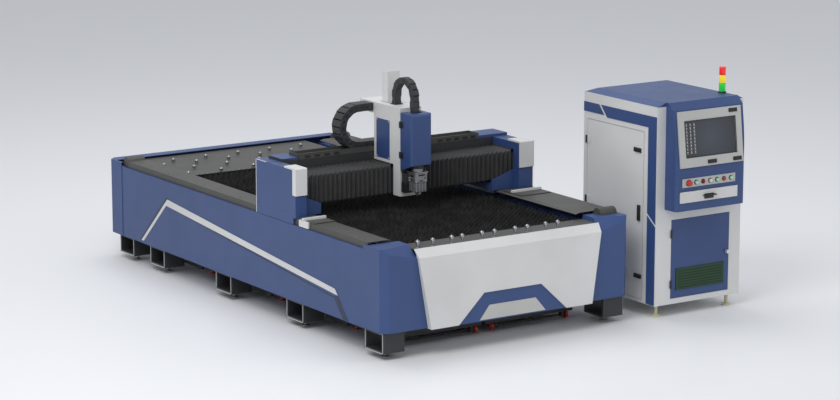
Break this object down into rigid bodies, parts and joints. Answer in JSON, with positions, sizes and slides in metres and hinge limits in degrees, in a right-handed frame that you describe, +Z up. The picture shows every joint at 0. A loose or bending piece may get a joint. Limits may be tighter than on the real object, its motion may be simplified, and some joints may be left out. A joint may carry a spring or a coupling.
{
  "type": "flatbed laser sheet cutting machine with control cabinet",
  "caption": "Flatbed laser sheet cutter: blue bed with serrated slats, gantry with head, bellows and energy chains, and a separate control cabinet.",
  "frame": {"origin": "on the floor under the middle of the whole machine's bounding box", "axes": "+Z up, +Y from the front panel to the back of the bed, +X from the bed towards the cabinet"},
  "size_m": [3.353, 4.663, 1.925],
  "materials": {
    "blue_paint": "satin",
    "white_paint": "satin",
    "grey_paint": "satin",
    "olive_cover": "satin",
    "dark_steel": "matt",
    "slat_steel": "sooted",
    "steel": "brushed",
    "silver": "satin",
    "bellows_cloth": "matt",
    "black_plastic": "matt",
    "cream_paint": "satin",
    "red_wheel": "satin",
    "red_button": "gloss",
    "green_button": "gloss",
    "white_button": "gloss",
    "screen_glass": "gloss",
    "green_panel": "satin",
    "beacon_plastic": "gloss"
  },
  "bodies": {
    "machine": {"bed_frame": "blue_paint", "leg_boxes": "dark_steel", "levelling_feet": "steel", "outer_panels": "blue_paint", "side_stripes": "white_paint", "corner_posts": "blue_paint", "front_panel": "white_paint", "arch_trim": "blue_paint", "arch_insert": "grey_paint", "deck_plates": "olive_cover", "support_slats": "slat_steel", "slat_ledges": "dark_steel", "rail_covers": "olive_cover", "guide_rails": "steel", "ball_units": "steel", "duct_collar": "steel", "cabinet_body": "white_paint", "cabinet_hood": "blue_paint", "monitor_bezel": "grey_paint", "screen": "screen_glass", "control_plate": "grey_paint", "laser_source": "dark_steel", "cabinet_feet": "cream_paint", "beacon": "beacon_plastic"},
    "gantry": {"gantry_ends": "blue_paint", "gantry_beam": "dark_steel", "corner_caps": "white_paint", "saddles": "steel", "bellows_left": "bellows_cloth", "bellows_right": "bellows_cloth", "cable_tray": "olive_cover", "x_chain": "black_plastic"},
    "carriage": {"carriage_body": "white_paint", "carriage_inlay": "blue_paint", "motor_cover": "white_paint", "z_chain": "black_plastic"},
    "head": {"z_plate": "dark_steel", "cutting_head": "silver"},
    "head_cover": {"head_cover": "blue_paint"},
    "side_door": {"side_door": "white_paint"},
    "lower_door": {"lower_door": "blue_paint", "vent_panel": "green_panel"},
    "keyboard_drawer": {"keyboard_drawer": "white_paint"},
    "emergency_stop": {"emergency_stop": "red_button"},
    "selector_knob": {"selector_knob": "red_button"},
    "slag_cart_left": {"slag_cart_left": "cream_paint"},
    "slag_cart_right": {"slag_cart_right": "cream_paint"},
    "push_button_1": {"push_button_1": "green_button"},
    "push_button_2": {"push_button_2": "white_button"},
    "push_button_3": {"push_button_3": "green_button"},
    "push_button_4": {"push_button_4": "red_button"},
    "push_button_5": {"push_button_5": "green_button"},
    "wheelset_left_1": {"wheelset_left_1": "red_wheel"},
    "wheelset_left_2": {"wheelset_left_2": "red_wheel"},
    "wheelset_left_3": {"wheelset_left_3": "red_wheel"},
    "wheelset_left_4": {"wheelset_left_4": "red_wheel"},
    "wheelset_right_1": {"wheelset_right_1": "red_wheel"},
    "wheelset_right_2": {"wheelset_right_2": "red_wheel"},
    "wheelset_right_3": {"wheelset_right_3": "red_wheel"},
    "wheelset_right_4": {"wheelset_right_4": "red_wheel"}
  },
  "joints": [
    {"name": "gantry_travel", "type": "slide", "parent": "machine", "child": "gantry", "axis": [0, 1, 0], "range_m": [-0.75, 2.18]},
    {"name": "carriage_travel", "type": "slide", "parent": "gantry", "child": "carriage", "axis": [1, 0, 0], "range_m": [-0.67, 0.73], "deforming": ["bellows_left", "bellows_right", "x_chain"]},
    {"name": "head_lift", "type": "slide", "parent": "carriage", "child": "head", "axis": [0, 0, 1], "range_m": [-0.11, 0.02], "deforming": ["z_chain"]},
    {"name": "head_cover_hinge", "type": "hinge", "parent": "head", "child": "head_cover", "pos_m": [-0.7325, -0.8992, 1.4], "axis": [0, 0, -1], "range_deg": [0, 100]},
    {"name": "side_door_hinge", "type": "hinge", "parent": "machine", "child": "side_door", "pos_m": [0.8152, -1.2565, 0.8], "axis": [0, 0, -1], "range_deg": [0, 16]},
    {"name": "lower_door_hinge", "type": "hinge", "parent": "machine", "child": "lower_door", "pos_m": [0.9765, -2.1648, 0.46], "axis": [0, 0, -1], "range_deg": [0, 110]},
    {"name": "keyboard_drawer_slide", "type": "slide", "parent": "machine", "child": "keyboard_drawer", "axis": [0, -1, 0], "range_m": [0, 0.24]},
    {"name": "emergency_stop_push", "type": "slide", "parent": "machine", "child": "emergency_stop", "axis": [0, 1, 0], "range_m": [0, 0.004], "stiffness_N_per_m": 600},
    {"name": "push_button_1_push", "type": "slide", "parent": "machine", "child": "push_button_1", "axis": [0, 1, 0], "range_m": [0, 0.004], "stiffness_N_per_m": 300},
    {"name": "push_button_2_push", "type": "slide", "parent": "machine", "child": "push_button_2", "axis": [0, 1, 0], "range_m": [0, 0.004], "stiffness_N_per_m": 300},
    {"name": "push_button_3_push", "type": "slide", "parent": "machine", "child": "push_button_3", "axis": [0, 1, 0], "range_m": [0, 0.004], "stiffness_N_per_m": 300},
    {"name": "push_button_4_push", "type": "slide", "parent": "machine", "child": "push_button_4", "axis": [0, 1, 0], "range_m": [0, 0.004], "stiffness_N_per_m": 300},
    {"name": "push_button_5_push", "type": "slide", "parent": "machine", "child": "push_button_5", "axis": [0, 1, 0], "range_m": [0, 0.004], "stiffness_N_per_m": 300},
    {"name": "selector_turn", "type": "hinge", "parent": "machine", "child": "selector_knob", "pos_m": [1.168, -2.3085, 1.092], "axis": [0, -1, 0], "range_deg": [-45, 45]},
    {"name": "slag_cart_left_roll", "type": "slide", "parent": "machine", "child": "slag_cart_left", "axis": [0, -1, 0], "range_m": [0, 2.6]},
    {"name": "wheelset_left_1_spin", "type": "hinge", "parent": "slag_cart_left", "child": "wheelset_left_1", "pos_m": [-0.9425, -1.7185, 0.03], "axis": [1, 0, 0], "continuous": true},
    {"name": "wheelset_left_2_spin", "type": "hinge", "parent": "slag_cart_left", "child": "wheelset_left_2", "pos_m": [-0.9425, -1.1385, 0.03], "axis": [1, 0, 0], "continuous": true},
    {"name": "wheelset_left_3_spin", "type": "hinge", "parent": "slag_cart_left", "child": "wheelset_left_3", "pos_m": [-0.9425, -0.0085, 0.03], "axis": [1, 0, 0], "continuous": true},
    {"name": "wheelset_left_4_spin", "type": "hinge", "parent": "slag_cart_left", "child": "wheelset_left_4", "pos_m": [-0.9425, 1.1315, 0.03], "axis": [1, 0, 0], "continuous": true},
    {"name": "slag_cart_right_roll", "type": "slide", "parent": "machine", "child": "slag_cart_right", "axis": [0, -1, 0], "range_m": [0, 2.6]},
    {"name": "wheelset_right_1_spin", "type": "hinge", "parent": "slag_cart_right", "child": "wheelset_right_1", "pos_m": [-0.0775, -1.7185, 0.03], "axis": [1, 0, 0], "continuous": true},
    {"name": "wheelset_right_2_spin", "type": "hinge", "parent": "slag_cart_right", "child": "wheelset_right_2", "pos_m": [-0.0775, -1.1385, 0.03], "axis": [1, 0, 0], "continuous": true},
    {"name": "wheelset_right_3_spin", "type": "hinge", "parent": "slag_cart_right", "child": "wheelset_right_3", "pos_m": [-0.0775, -0.0085, 0.03], "axis": [1, 0, 0], "continuous": true},
    {"name": "wheelset_right_4_spin", "type": "hinge", "parent": "slag_cart_right", "child": "wheelset_right_4", "pos_m": [-0.0775, 1.1315, 0.03], "axis": [1, 0, 0], "continuous": true}
  ],
  "couplings": [
    {"joint": "wheelset_left_1_spin", "follows": "slag_cart_left_roll", "rad_per_m": 33.333},
    {"joint": "wheelset_left_2_spin", "follows": "slag_cart_left_roll", "rad_per_m": 33.333},
    {"joint": "wheelset_left_3_spin", "follows": "slag_cart_left_roll", "rad_per_m": 33.333},
    {"joint": "wheelset_left_4_spin", "follows": "slag_cart_left_roll", "rad_per_m": 33.333},
    {"joint": "wheelset_right_1_spin", "follows": "slag_cart_right_roll", "rad_per_m": 33.333},
    {"joint": "wheelset_right_2_spin", "follows": "slag_cart_right_roll", "rad_per_m": 33.333},
    {"joint": "wheelset_right_3_spin", "follows": "slag_cart_right_roll", "rad_per_m": 33.333},
    {"joint": "wheelset_right_4_spin", "follows": "slag_cart_right_roll", "rad_per_m": 33.333}
  ]
}
